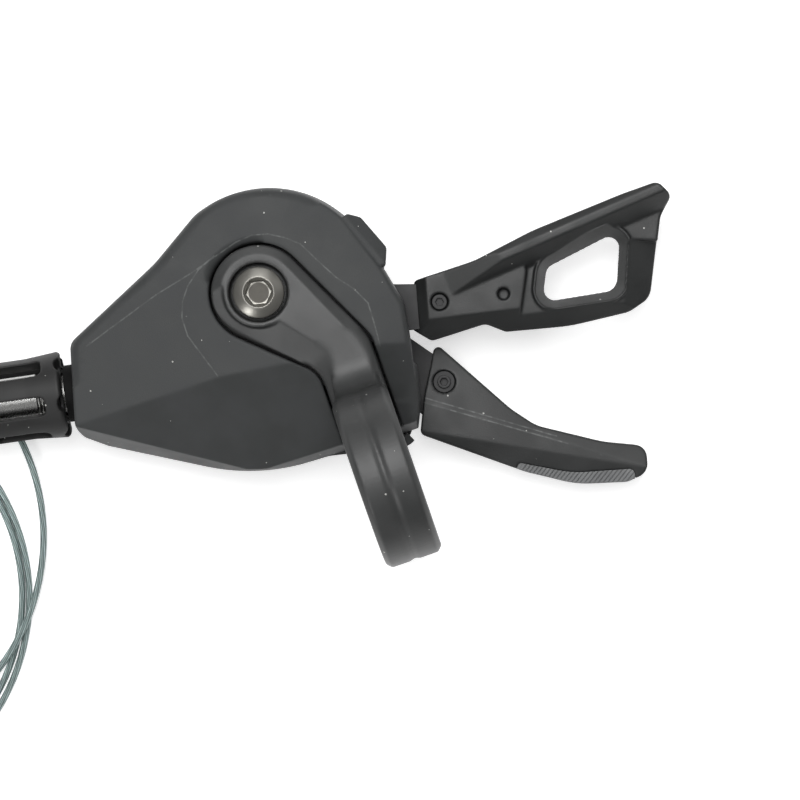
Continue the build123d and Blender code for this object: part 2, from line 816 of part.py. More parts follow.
def make_release_lever_cover():
    low = release_cover_top - release_cover_h
    mid = release_cover_top - plateau_h
    plan = rounded(RELEASE_PLAN)
    lever = prism(plan, low, mid)
    lever += prism(plan & rounded(PLATEAU_PLAN), low, release_cover_top)
    window = rounded(RELEASE_WINDOW)
    lever += prism(offset(window, amount=window_lip_w) & plan, low, mid + window_lip_h)
    lever += release_rail(plan, low, mid + rail_h)
    lever -= falling_cut(*RELEASE_LOWER, mid, release_lower_pitch)
    lever -= falling_cut(*RELEASE_ROOT, release_cover_top, release_root_pitch)
    depth = release_cover_h - plateau_h + window_lip_h
    lever -= extrude(Pos(0, 0, low) * window, amount=depth + 1, taper=-window_taper)
    slot = offset(rounded(RELEASE_PLATE_PLAN), amount=lever_clear)
    slot_low = release_plate_top - release_plate_t - lever_clear
    lever -= prism(slot, slot_low, release_plate_top + lever_clear)
    x, y = RELEASE_SCREW
    lever -= disc(screw_d / 2 + lever_clear, low - 1, release_cover_top + 1, x, y)
    lever -= disc(rivet_r + rivet_gap, release_cover_top - rivet_h - lever_clear, release_cover_top + 1, x, y)
    x, y = RELEASE_HOLE
    return lever - disc(blind_r, release_cover_top - blind_depth, release_cover_top + 1, x, y)


def make_release_lever_screw():
    x, y = RELEASE_SCREW
    seat = release_cover_top - rivet_h - lever_clear
    screw = disc(rivet_r, seat, seat + rivet_h, x, y)
    screw += disc(screw_d / 2, release_plate_top - release_plate_t, seat, x, y)
    return screw - prism(Pos(x, y) * hexagon(lever_socket), seat, seat + rivet_h)


def make_release_lever_spring():
    low = release_plate_top - sleeve_h + 0.1
    return torsion_spring(release_x, release_y, sleeve_r + 0.4, low, 1.1, 0.45, 150)


# Main lever
def make_main_lever_plate():
    hub = Circle(main_hub_r)
    x, y = drive_pin_spot()
    ear = make_face(Polyline(polar(4, drive_pin_angle - 90), (x - pawl_eye_r, y), (x + pawl_eye_r, y),
                             polar(main_hub_r, drive_pin_angle + 40), close=True))
    plan = hub + rounded(MAIN_PLATE_PLAN) + ear + Pos(x, y) * Circle(pawl_eye_r)
    plan -= Circle(axle_r + run_gap)
    plan -= Pos(x, y) * Circle(pawl_pin_r + seat_gap)
    plan -= Pos(*MAIN_SCREW) * Circle(screw_d / 2 + seat_gap)
    return prism(plan, main_plate_bottom, main_plate_top)


def main_lever_face(solid, level):
    """The solid below the main lever's falling faces."""
    solid -= falling_cut(*MAIN_RIDGE, level, main_ridge_pitch)
    return solid - falling_cut(*MAIN_GROOVE, level, main_groove_pitch)


def make_main_lever_cover():
    low = main_cover_top - main_cover_h
    lever = main_lever_face(prism(rounded(MAIN_PLAN), low, main_cover_top), main_cover_top)
    lever -= prism(rounded(GRIP_ZONE), low - 1, main_cover_top + 1)
    slot = offset(rounded(MAIN_PLATE_PLAN), amount=lever_clear)
    lever -= prism(slot, main_plate_bottom - lever_clear, main_plate_top + lever_clear)
    x, y = MAIN_SCREW
    lever -= disc(screw_d / 2 + lever_clear, low - 1, main_cover_top + 1, x, y)
    seat = main_cover_top - main_screw_sink
    return lever - disc(main_screw_head_r + lever_clear, seat, main_cover_top + 1, x, y)


def make_main_lever_grip():
    low = main_cover_top - main_cover_h
    pad = prism(rounded(GRIP_ZONE) & rounded(MAIN_PLAN), low, main_cover_top)
    core = main_lever_face(pad, main_cover_top - grip_rib_h)
    rib_plan = Sketch() + [
        Pos(grip_first_x + rib * grip_rib_gap, grip_middle_y) * Rot(0, 0, grip_rib_lean)
        * Rectangle(grip_rib_gap - grip_rib_w, 8) for rib in range(grip_ribs)]
    return core + (main_lever_face(pad, main_cover_top) & prism(rib_plan, low, main_cover_top))


def make_main_lever_screw():
    x, y = MAIN_SCREW
    seat = main_cover_top - main_screw_sink
    top = seat + main_screw_head_h
    screw = disc(main_screw_head_r, seat, top - slot_w, x, y) + disc(main_screw_ring_r, seat, top, x, y)
    screw += disc(screw_d / 2, main_plate_bottom, seat, x, y)
    return screw - prism(Pos(x, y) * hexagon(lever_socket), top - 2 * slot_w, top)


# Barrel adjuster, drawn with Z outward along its axis from the housing's end face
def adjuster_frame():
    along = Vector(*polar(1, adjuster_angle))
    foot = Vector(*polar(groove_r, adjuster_angle - 90))
    end_x = HOUSING_PLAN[0][0] + 0.3
    origin = foot + along * ((end_x - foot.X) / along.X)
    return Plane(origin=(origin.X, origin.Y, adjuster_z), x_dir=(0, 0, 1), z_dir=-along)


def insert_room():
    room = Cylinder(insert_r + seat_gap, insert_length * 2 + 2)
    return adjuster_frame() * (room + Pos(0, 0, -insert_length) * Cylinder(2 * cable_r, through / 2))


def prong_slots(clear):
    width, low, high = 1.4 + 2 * clear, thread_r + 0.15 - clear, thread_r + 0.85 + clear
    slots = [Rot(0, 0, turn) * Pos((low + high) / 2, 0) * Rectangle(high - low, width) for turn in (90, 270)]
    return Sketch() + slots


def make_adjuster_insert():
    plan = Circle(insert_r) - Circle(thread_r + run_gap) - prong_slots(0.15)
    return adjuster_frame() * prism(plan, -insert_length, insert_proud)


def spring_low():
    """Height of the adjuster spring's first turn over the click ring."""
    return knob_gap + 0.8 + click_ring_t + spring_wire / 2 + run_gap


def make_adjuster_bolt():
    head_low = knob_gap + knob_length - 6.0
    shoulder = spring_low() + spring_turns * spring_pitch + spring_wire / 2 + run_gap
    shank_r = thread_r + 0.2 + spring_wire
    mouth = head_low + 6.6
    flank = Polyline(
        (cable_r + 0.5, -thread_depth), (thread_r - 0.4, -thread_depth), (thread_r, -thread_depth + 0.4),
        (thread_r, shoulder), (shank_r, shoulder), (shank_r, head_low), (insert_r, head_low), (insert_r, mouth),
        (casing_seat_d / 2, mouth), (casing_seat_d / 2, mouth - casing_seat_depth),
        (cable_r + 0.5, mouth - casing_seat_depth), close=True)
    return adjuster_frame() * revolve(Plane.XZ * make_face(flank), axis=Axis.Z)


def make_adjuster_knob():
    low, high = knob_gap, knob_gap + knob_length
    bore = insert_r + 0.3
    flank = Polyline(
        (bore - 0.7, low), (knob_end_d / 2 - 0.4, low), (knob_end_d / 2, low + 0.5),
        (knob_r, low + window_start + 3), (knob_r, high - 5.0), (knob_r - 0.9, high - 1.2),
        (knob_r - 1.6, high), (insert_r + seat_gap, high), (insert_r + seat_gap, high - 6.0), (bore, high - 6.0),
        (bore, low + 0.7), (bore - 0.7, low + 0.7), close=True)
    knob = revolve(Plane.XZ * make_face(flank), axis=Axis.Z)
    for side in range(knob_windows):
        turn = Rot(0, 0, window_phase + side * 360 / knob_windows)
        cut = RectangleRounded(window_length, window_w, window_w * 0.3)
        middle = low + window_start + window_length / 2
        window = extrude(Plane(origin=(bore - 0.4, 0, middle), x_dir=(0, 0, 1), z_dir=(1, 0, 0)) * cut, amount=6)
        knob -= turn * window
        scallop = Pos(knob_r, 0, low - 1.0) * Rot(0, 90, 0) * Cylinder(1.9, 4)
        knob -= turn * scallop
    return adjuster_frame() * knob


def make_adjuster_click_ring():
    low = knob_gap + 0.7 + 0.1
    ring = prism(Circle(insert_r + 0.2) - Circle(thread_r + 0.1), low, low + click_ring_t)
    prongs = prism(prong_slots(0), -5.0, low)
    return adjuster_frame() * (ring + prongs)


def make_adjuster_spring():
    coil = Helix(pitch=spring_pitch, height=spring_turns * spring_pitch, radius=thread_r + 0.2 + spring_wire / 2)
    section = Plane(origin=coil @ 0, z_dir=coil % 0) * Circle(spring_wire / 2)
    return adjuster_frame() * (Pos(0, 0, spring_low()) * sweep(section, path=coil, is_frenet=True))


# Shift cable
def mouth_distance():
    return knob_gap + knob_length + 0.6


def make_inner_wire():
    """Wire from the drum's anchor along the groove and out through the adjuster."""
    tangent = adjuster_angle - 90
    start = polar(groove_r, tangent + head_lead)
    end = adjuster_frame().origin + adjuster_frame().z_dir * mouth_distance()
    corner = polar(groove_r / math.cos(math.radians(head_lead / 2)), tangent + head_lead / 2)
    level = adjuster_z
    first = Vector(*start, level)
    path = FilletPolyline((*start, level), (*corner, level), tuple(end), radius=groove_r * 0.98)
    section = Plane(origin=first, z_dir=Vector(*corner, level) - first) * Circle(cable_r)
    return sweep(section, path=path)


def cable_points():
    """The free route in model coordinates, from its distances along and beside the adjuster's axis."""
    frame = adjuster_frame()
    mouth = frame.origin + frame.z_dir * mouth_distance()
    side = Vector(0, 0, 1).cross(frame.z_dir)
    return [mouth + frame.z_dir * along + side * beside + Vector(0, 0, up) for along, beside, up in CABLE_ROUTE]


def make_shift_cable():
    points = cable_points()
    radii = []
    for before, at, after in zip(points, points[1:], points[2:]):
        turn = (at - before).get_angle(after - at)
        shorter = min((at - before).length, (after - at).length)
        radii.append(0.45 * shorter / math.tan(math.radians(turn / 2)))
    print("cable arc radii", [round(r, 1) for r in radii])
    path = FilletPolyline(*points, radius=radii)
    section = Plane(origin=points[0], z_dir=points[1] - points[0]) * Circle(cable_r)
    cable = sweep(section, path=path)
    print("cable volume over section times length", round(cable.volume / (path.length * math.pi * cable_r**2), 4))
    return cable


def make_cable_coil():
    """The loose coil as one solid of its outer shape, with its eye set off to one side."""
    outer = Pos(coil_x, coil_y) * Ellipse(coil_half_w, coil_half_l)
    eye = Pos(coil_eye_x, coil_eye_y) * Circle(coil_eye_r)
    return prism(outer - eye, floor_bottom, floor_bottom + coil_h)


PIECES = {
    "upper_cover": make_upper_cover,
    "lower_cover": make_lower_cover,
    "base_plate": make_base_plate,
    "main_axle": make_main_axle,
    "axle_nut": make_axle_nut,
    "cover_screws": make_cover_screws,
    "clamp_band": make_clamp_band,
    "clamp_bolt": make_clamp_bolt,
    "cable_drum": make_cable_drum,
    "drum_bush": make_drum_bush,
    "drum_spring": make_drum_spring,
    "index_ratchet": make_index_ratchet,
    "drive_ratchet": make_drive_ratchet,
    "cable_head": make_cable_head,
    "inner_wire": make_inner_wire,
    "holding_pawl": make_holding_pawl,
    "holding_pawl_spring": make_holding_pawl_spring,
    "drive_pawl": make_drive_pawl,
    "drive_pawl_pin": make_drive_pawl_pin,
    "drive_pawl_spring": make_drive_pawl_spring,
    "main_lever_plate": make_main_lever_plate,
    "main_lever_cover": make_main_lever_cover,
    "main_lever_grip": make_main_lever_grip,
    "main_lever_screw": make_main_lever_screw,
    "main_lever_spring": make_main_lever_spring,
    "release_stud": make_release_stud,
    "release_lever_plate": make_release_lever_plate,
    "release_lever_cover": make_release_lever_cover,
    "release_lever_screw": make_release_lever_screw,
    "release_lever_spring": make_release_lever_spring,
    "adjuster_insert": make_adjuster_insert,
    "adjuster_bolt": make_adjuster_bolt,
    "adjuster_knob": make_adjuster_knob,
    "adjuster_click_ring": make_adjuster_click_ring,
    "adjuster_spring": make_adjuster_spring,
    "shift_cable": make_shift_cable,
    "cable_coil": make_cable_coil,
}

os.makedirs("parts", exist_ok=True)
for node, make in PIECES.items():
    export_step(placed(make()), f"parts/{node}.step")
    print("made", node)
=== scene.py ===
# %% [markdown]
# # A trigger gear shifter with its loose inner cable
# The shifter is shown from above, lying on its back with the clamp band towards us. All solid pieces come
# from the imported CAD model, so the first step only loads that frame and remembers its box. Everything made
# later is in metres and in the same frame.

# %% Load the frame
import json
import math

import bpy
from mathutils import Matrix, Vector

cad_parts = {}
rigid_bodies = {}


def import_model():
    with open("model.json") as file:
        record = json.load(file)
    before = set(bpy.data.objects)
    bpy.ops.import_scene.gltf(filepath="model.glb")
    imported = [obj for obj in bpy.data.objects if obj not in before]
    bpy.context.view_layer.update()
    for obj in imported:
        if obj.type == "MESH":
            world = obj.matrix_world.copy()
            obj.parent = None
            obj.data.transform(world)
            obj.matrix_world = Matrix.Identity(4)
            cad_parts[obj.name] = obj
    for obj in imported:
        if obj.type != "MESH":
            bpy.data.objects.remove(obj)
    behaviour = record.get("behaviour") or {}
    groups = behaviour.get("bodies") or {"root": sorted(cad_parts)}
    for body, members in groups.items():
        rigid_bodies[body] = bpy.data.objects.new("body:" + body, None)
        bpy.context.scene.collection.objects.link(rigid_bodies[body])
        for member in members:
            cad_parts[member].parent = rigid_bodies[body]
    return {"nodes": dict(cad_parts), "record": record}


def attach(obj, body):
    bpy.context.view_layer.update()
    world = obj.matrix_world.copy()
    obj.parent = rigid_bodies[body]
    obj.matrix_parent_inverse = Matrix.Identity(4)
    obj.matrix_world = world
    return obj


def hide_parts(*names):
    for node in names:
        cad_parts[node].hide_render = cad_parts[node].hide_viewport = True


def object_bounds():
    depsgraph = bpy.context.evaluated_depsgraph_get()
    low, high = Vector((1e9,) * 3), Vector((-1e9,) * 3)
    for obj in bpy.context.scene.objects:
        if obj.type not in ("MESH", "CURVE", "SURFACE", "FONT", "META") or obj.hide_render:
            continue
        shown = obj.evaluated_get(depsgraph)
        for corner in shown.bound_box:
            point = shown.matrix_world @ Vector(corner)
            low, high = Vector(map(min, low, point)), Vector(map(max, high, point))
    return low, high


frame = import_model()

cad_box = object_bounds()
nodes = frame["nodes"]
scene = bpy.context.scene

# %% [markdown]
# ## Where things are
# The housing is drawn on a plan of its own: the winding axis at 0, 0, the cover's face at height 0, in
# millimetres. The frame's origin is in the middle of the handlebar instead. One helper turns a point of the
# plan into a point of the frame, so that sizes can be read straight off the drawing.

# %% Plan to frame
PLAN_TURN = math.radians(-19.1)
PLAN_ZERO = Vector((-10.6, 36.9, -6.0))


def spot(x, y, z):
    """A point of the housing's plan, in mm, as a point of the frame, in metres."""
    turned = Vector((x * math.cos(PLAN_TURN) - y * math.sin(PLAN_TURN),
                     x * math.sin(PLAN_TURN) + y * math.cos(PLAN_TURN), z))
    return (turned + PLAN_ZERO) / 1000


FLOOR = cad_box[0][2]
print("winding axis at", [round(v, 4) for v in spot(0, 0, 0)], "floor at", round(FLOOR, 4))

# %% [markdown]
# ## Camera
# The picture was taken from straight above with a long lens, which is why upright walls hardly show. A
# camera without rotation looks down -Z, so only a turn about Z is needed to lay the plan as it lies there.

# %% Camera
camera = bpy.data.objects.new("overhead_camera", bpy.data.cameras.new("overhead_camera"))
scene.collection.objects.link(camera)
camera.location = (0.0064, 0.0114, 0.594)
camera.rotation_euler = (0, 0, PLAN_TURN)
camera.data.lens = 156.6
camera.data.sensor_width = 36
scene.camera = camera
print("camera", round(camera.location.z - FLOOR, 3), "m above the floor")

# %% [markdown]
# ## Inner cable
# A gear wire is about 1.2 mm thick and 1.8 m long, springy, and lies in wide loose turns. One NURBS spline
# carries all of it. Its first control points lead from the adjuster down to the floor. A loop then lays the
# turns: each has its own circle, and near the place where one turn ends its points slide over to the next
# circle. The last turn is the widest, leaves the others and passes over them in a low hump. A curve's box
# counts each point's radius in metres, so the points carry the wire's radius and the bevel is 1.

# %% Cable route
CABLE_DOWN = [(-54.58, -20.39, -11.6), (-62.5, -21.5, -11.8), (-70.9, -22.9, -13.6), (-79.6, -25.0, -16.8),
              (-87.5, -29.2, -20.3), (-94.2, -35.2, -22.7), (-99.4, -43.0, -23.4), (-102.4, -51.6, -23.4),
              (-103.2, -60.6, -23.4)]
INNER_TURNS = [(-81.6, -52.4, 25.6 + 1.3 * turn) for turn in range(6)]
CABLE_TURNS = INNER_TURNS + [(-79.1, -53.7, 36.4), (-80.0, -54.0, 38.6), (-78.0, -43.0, 39.3)]
STEPS_PER_TURN = 18
LAST_START = 180 + 360 * (len(CABLE_TURNS) - 1)


def ease(value, low, high):
    """0 below low, 1 above high, and a smooth step between."""
    share = min(1, max(0, (value - low) / (high - low)))
    return share * share * (3 - 2 * share)


def turn_point(angle):
    """The cable at this angle of its coil, in degrees from the plan's X, counted on through all turns."""
    turn = int((angle - 180) // 360)
    here = CABLE_TURNS[turn]
    if (angle - 180) % 360 > 180:
        near = min(turn + 1, len(CABLE_TURNS) - 1)
        share = ease(angle, 180 + 360 * (turn + 1) - 70, 180 + 360 * (turn + 1) + 70)
    else:
        near = max(turn - 1, 0)
        share = 1 - ease(angle, 180 + 360 * turn - 70, 180 + 360 * turn + 70)
    x, y, r = (a + (b - a) * share for a, b in zip(here, CABLE_TURNS[near]))
    lift = ease(angle, LAST_START - 80, LAST_START + 45) - ease(angle, LAST_START + 195, LAST_START + 235)
    around = math.radians(angle)
    return x + r * math.cos(around), y + r * math.sin(around), -23.4 + 1.3 * lift


coil_angles = range(218, LAST_START + 331, 360 // STEPS_PER_TURN)
cable_line = [spot(*p) for p in CABLE_DOWN] + [spot(*turn_point(a)) for a in coil_angles]
print(len(cable_line), "control points,", len(CABLE_TURNS), "turns")

# %% Cable
CABLE_R = 0.0006
curve = bpy.data.curves.new("gear_cable", "CURVE")
curve.dimensions = "3D"
strand = curve.splines.new("NURBS")
strand.points.add(len(cable_line) - 1)
for point, place in zip(strand.points, cable_line):
    point.co = (*place, 1)
    point.radius = CABLE_R
strand.order_u = 3
strand.use_endpoint_u = True
strand.resolution_u = 6
curve.bevel_depth = 1
curve.bevel_resolution = 3
curve.use_fill_caps = True
cable = bpy.data.objects.new("gear_cable", curve)
scene.collection.objects.link(cable)
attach(cable, "housing")
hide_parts("shift_cable", "cable_coil")
print("cable spline length", round(strand.calc_length(), 3), "m")

# %% [markdown]
# ## Shared finishes
# Moulded plastic, paint and rubber share four effects, so each is a shader node group with its own inputs:
# a fine grain with slow changes of tone, small dust specks, a pale line along edges that is partly wear from
# handling and partly painted highlight, and pale lines along creases that are painted highlights. Groups only
# put out masks, heights and tones. The shaders stay in the materials.

# %% Helpers for node trees
def new_group(name, inputs, outputs):
    group = bpy.data.node_groups.new(name, "ShaderNodeTree")
    for socket, kind in inputs:
        group.interface.new_socket(socket, in_out="INPUT", socket_type=kind)
    for socket, kind in outputs:
        group.interface.new_socket(socket, in_out="OUTPUT", socket_type=kind)
    return group, group.nodes.new("NodeGroupInput"), group.nodes.new("NodeGroupOutput")


def add(tree, kind, **settings):
    node = tree.nodes.new(kind)
    for name, value in settings.items():
        if hasattr(node, name):
            setattr(node, name, value)
        else:
            node.inputs[name.replace("_", " ")].default_value = value
    return node


def ramp(tree, value, low, high):
    """Value between low and high, stretched to 0 and 1 and eased."""
    node = add(tree, "ShaderNodeMapRange", interpolation_type="SMOOTHSTEP")
    node.inputs["From Min"].default_value = low
    node.inputs["From Max"].default_value = high
    tree.links.new(value, node.inputs["Value"])
    return node.outputs["Result"]


def maths(tree, operation, first, second=None):
    node = add(tree, "ShaderNodeMath", operation=operation)
    for socket, value in zip(node.inputs, (first, second)):
        if isinstance(value, (int, float)):
            socket.default_value = value
        elif value is not None:
            tree.links.new(value, socket)
    return node.outputs[0]


# %% Moulded grain
grain, g_in, g_out = new_group("moulded_grain", [("Vector", "NodeSocketVector"), ("Scale", "NodeSocketFloat")],
                               [("Height", "NodeSocketFloat"), ("Tone", "NodeSocketFloat")])
fine = add(grain, "ShaderNodeTexNoise", Detail=3.0)
slow = add(grain, "ShaderNodeTexNoise", Scale=140.0, Detail=4.0)
grain.links.new(g_in.outputs["Vector"], fine.inputs["Vector"])
grain.links.new(g_in.outputs["Vector"], slow.inputs["Vector"])
grain.links.new(g_in.outputs["Scale"], fine.inputs["Scale"])
grain.links.new(fine.outputs["Fac"], g_out.inputs["Height"])
grain.links.new(ramp(grain, slow.outputs["Fac"], 0.3, 0.7), g_out.inputs["Tone"])

# %% Dust specks
dust, d_in, d_out = new_group("dust_specks", [("Vector", "NodeSocketVector"), ("Share", "NodeSocketFloat")],
                              [("Mask", "NodeSocketFloat")])
cells = add(dust, "ShaderNodeTexVoronoi", Scale=420.0)
dust.links.new(d_in.outputs["Vector"], cells.inputs["Vector"])
pick = add(dust, "ShaderNodeSeparateColor")
dust.links.new(cells.outputs["Color"], pick.inputs["Color"])
chosen = maths(dust, "LESS_THAN", pick.outputs["Red"], d_in.outputs["Share"])
size = maths(dust, "MULTIPLY", pick.outputs["Green"], 0.075)
near = maths(dust, "LESS_THAN", cells.outputs["Distance"], size)
dust.links.new(maths(dust, "MULTIPLY", chosen, near), d_out.inputs["Mask"])

# %% Wear and painted edge highlight
# A pale mask along edges, broken up by noise: partly wear from handling, partly a painted highlight on the edges.
wear_and_edge_highlight, w_in, w_out = new_group("wear_and_painted_edge_highlight", [("Vector", "NodeSocketVector"), ("Rounded", "NodeSocketVector"),
                                             ("Amount", "NodeSocketFloat")], [("Mask", "NodeSocketFloat")])
face = add(wear_and_edge_highlight, "ShaderNodeNewGeometry")
turned = add(wear_and_edge_highlight, "ShaderNodeVectorMath", operation="DOT_PRODUCT")
wear_and_edge_highlight.links.new(face.outputs["Normal"], turned.inputs[0])
wear_and_edge_highlight.links.new(w_in.outputs["Rounded"], turned.inputs[1])
patches = add(wear_and_edge_highlight, "ShaderNodeTexNoise", Scale=260.0, Detail=5.0)
wear_and_edge_highlight.links.new(w_in.outputs["Vector"], patches.inputs["Vector"])
edge = ramp(wear_and_edge_highlight, maths(wear_and_edge_highlight, "SUBTRACT", 1.0, turned.outputs["Value"]), 0.02, 0.16)
edge = maths(wear_and_edge_highlight, "MAXIMUM", edge, ramp(wear_and_edge_highlight, face.outputs["Pointiness"], 0.54, 0.64))
broken = ramp(wear_and_edge_highlight, patches.outputs["Fac"], 0.35, 0.65)
wear_and_edge_highlight.links.new(maths(wear_and_edge_highlight, "MULTIPLY", maths(wear_and_edge_highlight, "MULTIPLY", edge, broken), w_in.outputs["Amount"]),
               w_out.inputs["Mask"])

# %% Painted ridge highlights
# Painted highlight: a thin pale line along a line of the plan, broken up by noise, stands in for light on a ridge.
ridge_highlight, r_in, r_out = new_group("painted_ridge_highlight", [("Vector", "NodeSocketVector"), ("Start", "NodeSocketVector"),
                                              ("End", "NodeSocketVector"), ("Width", "NodeSocketFloat")],
                             [("Mask", "NodeSocketFloat")])


def vectors(tree, operation, first, second=None):
    node = add(tree, "ShaderNodeVectorMath", operation=operation)
    for socket, value in zip(node.inputs, (first, second)):
        if isinstance(value, tuple):
            socket.default_value = value
        elif value is not None:
            tree.links.new(value, socket)
    return node


away = vectors(ridge_highlight, "SUBTRACT", r_in.outputs["Vector"], r_in.outputs["Start"]).outputs["Vector"]
flat = vectors(ridge_highlight, "MULTIPLY", away, (1.0, 1.0, 0.0)).outputs["Vector"]
run = vectors(ridge_highlight, "SUBTRACT", r_in.outputs["End"], r_in.outputs["Start"]).outputs["Vector"]
part = maths(ridge_highlight, "DIVIDE", vectors(ridge_highlight, "DOT_PRODUCT", flat, run).outputs["Value"],
             vectors(ridge_highlight, "DOT_PRODUCT", run, run).outputs["Value"])
part = maths(ridge_highlight, "MINIMUM", maths(ridge_highlight, "MAXIMUM", part, 0.0), 1.0)
reach = add(ridge_highlight, "ShaderNodeVectorMath", operation="SCALE")
ridge_highlight.links.new(run, reach.inputs[0])
ridge_highlight.links.new(part, reach.inputs["Scale"])
off = vectors(ridge_highlight, "DISTANCE", flat, reach.outputs["Vector"]).outputs["Value"]
close = maths(ridge_highlight, "SUBTRACT", 1.0, maths(ridge_highlight, "DIVIDE", off, r_in.outputs["Width"]))
specked = add(ridge_highlight, "ShaderNodeTexNoise", Scale=900.0, Detail=4.0)
ridge_highlight.links.new(r_in.outputs["Vector"], specked.inputs["Vector"])
uneven = maths(ridge_highlight, "ADD", 0.25, maths(ridge_highlight, "MULTIPLY", 0.75, ramp(ridge_highlight, specked.outputs["Fac"], 0.4, 0.65)))
ridge_highlight.links.new(maths(ridge_highlight, "MULTIPLY", ramp(ridge_highlight, close, 0.0, 0.9), uneven), r_out.inputs["Mask"])
print("groups", [g.name for g in bpy.data.node_groups])

# %% [markdown]
# ## Moulded and painted pieces
# The covers, levers and knob are dark glass-filled nylon, and the clamp band is painted alloy. They differ
# in tone, gloss and grain, so one function builds the material from those values. The Bevel node rounds the
# normals where two faces meet, which gives every edge the thin highlight of a moulded radius.

# %% Moulded finish
# Width and tone of the painted highlight lines along ridges.
RIDGE_HIGHLIGHT_WIDTH = 2e-4
RIDGE_HIGHLIGHT_TONE = (0.095, 0.10, 0.098)
DUST_TONE = (0.42, 0.42, 0.40)


def group_node(tree, group, vector):
    node = add(tree, "ShaderNodeGroup", node_tree=group)
    tree.links.new(vector, node.inputs["Vector"])
    return node


def mix(tree, share, low, high):
    node = add(tree, "ShaderNodeMix", data_type="RGBA")
    tree.links.new(share, node.inputs["Factor"])
    for socket, colour in ((node.inputs[6], low), (node.inputs[7], high)):
        if isinstance(colour, tuple):
            socket.default_value = (*colour, 1)
        else:
            tree.links.new(colour, socket)
    return node.outputs[2]


def moulded(name, dark, light, rough, grain_scale, grain_depth, edge_r, wear_and_highlight_amount, specks, shine=0.5, ridges=()):
    """Plastic, paint or rubber: two tones, roughness range, grain, edge radius, wear and painted edge highlight, dust,
    shine, painted highlight lines.
    """
    material = bpy.data.materials.new(name)
    material.use_nodes = True
    tree = material.node_tree
    surface = tree.nodes["Principled BSDF"]
    surface.inputs["Specular IOR Level"].default_value = shine
    place = add(tree, "ShaderNodeTexCoord").outputs["Object"]
    skin = group_node(tree, grain, place)
    skin.inputs["Scale"].default_value = grain_scale
    rounded = add(tree, "ShaderNodeBevel", samples=6)
    rounded.inputs["Radius"].default_value = edge_r
    edges = group_node(tree, wear_and_edge_highlight, place)
    edges.inputs["Amount"].default_value = wear_and_highlight_amount
    tree.links.new(rounded.outputs["Normal"], edges.inputs["Rounded"])
    fleck = group_node(tree, dust, place)
    fleck.inputs["Share"].default_value = specks
    tone = mix(tree, skin.outputs["Tone"], dark, light)
    # Pale edges: partly wear, partly a painted highlight.
    worn_and_highlit = mix(tree, edges.outputs["Mask"], tone, tuple(min(1, 3.2 * c + 0.05) for c in light))
    # Painted highlight: pale lines along the ridges of the cover and the levers.
    for start, end in [pair for line in ridges for pair in zip(line, line[1:])]:
        stroke = group_node(tree, ridge_highlight, place)
        stroke.inputs["Start"].default_value = (*spot(*start, 0).xy, 0)
        stroke.inputs["End"].default_value = (*spot(*end, 0).xy, 0)
        stroke.inputs["Width"].default_value = RIDGE_HIGHLIGHT_WIDTH
        worn_and_highlit = mix(tree, stroke.outputs["Mask"], worn_and_highlit, RIDGE_HIGHLIGHT_TONE)
    dusty = mix(tree, fleck.outputs["Mask"], worn_and_highlit, DUST_TONE)
    tree.links.new(dusty, surface.inputs["Base Color"])
    gloss = add(tree, "ShaderNodeMapRange")
    gloss.inputs["To Min"].default_value, gloss.inputs["To Max"].default_value = rough
    tree.links.new(skin.outputs["Tone"], gloss.inputs["Value"])
    tree.links.new(gloss.outputs["Result"], surface.inputs["Roughness"])
    relief = add(tree, "ShaderNodeBump", Strength=0.35, Distance=grain_depth)
    tree.links.new(skin.outputs["Height"], relief.inputs["Height"])
    tree.links.new(rounded.outputs["Normal"], relief.inputs["Normal"])
    tree.links.new(relief.outputs["Normal"], surface.inputs["Normal"])
    return material


# Lines of the plan along which a painted highlight is drawn on the cover and the levers.
COVER_RIDGES = [[(-29.7, -9.2), (-17.7, -0.4), (-11.5, 3.4), (-3.9, 8.7), (-1.1, 9.9), (1.6, 10.1), (4.4, 9.5),
                 (7.2, 8.4), (9.9, 5.8), (13.4, 2.6), (16.5, 0.6), (18.9, -1.8), (19.9, -5.1), (21.0, -9.2)],
                [(-7.7, 6.3), (-10.4, 3.9), (-12.2, 1.1), (-13.1, -1.6), (-13.2, -4.4), (-12.2, -7.5),
                 (-10.1, -10.3), (-7.0, -14.4)]]
LEVER_RIDGES = [[(28.6, -18.1), (52.0, -24.9)], [(28.4, -18.9), (54.0, -26.2)]]
cover_skin = moulded("cover_nylon", (0.032, 0.034, 0.034), (0.039, 0.041, 0.042), (0.54, 0.64), 5200, 4e-5,
                     4e-4, 0.06, 1.0, 0.36, COVER_RIDGES)
lever_skin = moulded("lever_nylon", (0.011, 0.012, 0.012), (0.016, 0.017, 0.017), (0.42, 0.54), 4200, 5e-5,
                     3e-4, 0.10, 0.9, 0.5, LEVER_RIDGES)
knob_skin = moulded("knob_nylon", (0.011, 0.011, 0.011), (0.015, 0.015, 0.015), (0.50, 0.60), 5200, 3e-5,
                    3e-4, 0.06, 0.8, 0.4)
# The pad's tone is set lighter than the rubber as painted light, for the light its rounded lower edge catches.
pad_painted_light = moulded("lever_pad_painted_light", (0.150, 0.153, 0.155), (0.180, 0.184, 0.186), (0.50, 0.60), 3600, 6e-5,
                   2e-4, 0.10, 0.8, 0.5)
band_skin = moulded("band_paint", (0.029, 0.030, 0.030), (0.036, 0.037, 0.037), (0.40, 0.48), 6500, 2e-5,
                    3e-4, 0.05, 0.9)
drum_skin = moulded("drum_acetal", (0.55, 0.55, 0.52), (0.62, 0.61, 0.58), (0.38, 0.46), 3000, 2e-5, 2e-4,
                    0.0, 0.1)
